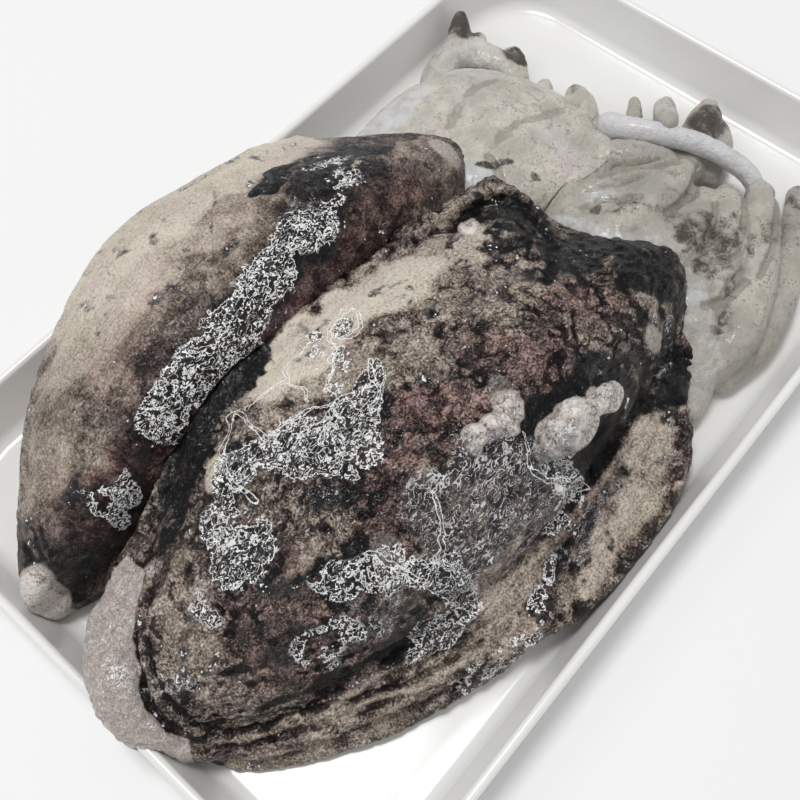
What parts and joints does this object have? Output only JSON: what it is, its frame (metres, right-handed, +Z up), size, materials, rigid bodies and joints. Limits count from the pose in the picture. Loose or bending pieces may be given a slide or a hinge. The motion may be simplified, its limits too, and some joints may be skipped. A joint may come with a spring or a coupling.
{
  "type": "whole raw cuttlefish",
  "caption": "Whole raw cuttlefish with wet, ink-stained skin, lying side by side in a shallow white rectangular tray.",
  "frame": {"origin": "middle of the tray's flat underside", "axes": "+X along the tray towards the heads, +Y across it towards the rear animal, +Z up"},
  "size_m": [0.3018, 0.188, 0.0599],
  "materials": {
    "white_tray": "smooth white melamine, glossy and wet in places",
    "dark_skin": "wet grey-brown skin stained with black ink, pale grey head and arms",
    "mottled_skin": "wet mottled beige-brown skin with one ink stain, pale grey head and arms"
  },
  "bodies": {
    "root": {"tray": "white_tray", "cuttlefish_front": "dark_skin", "cuttlefish_back": "mottled_skin"}
  },
  "joints": []
}
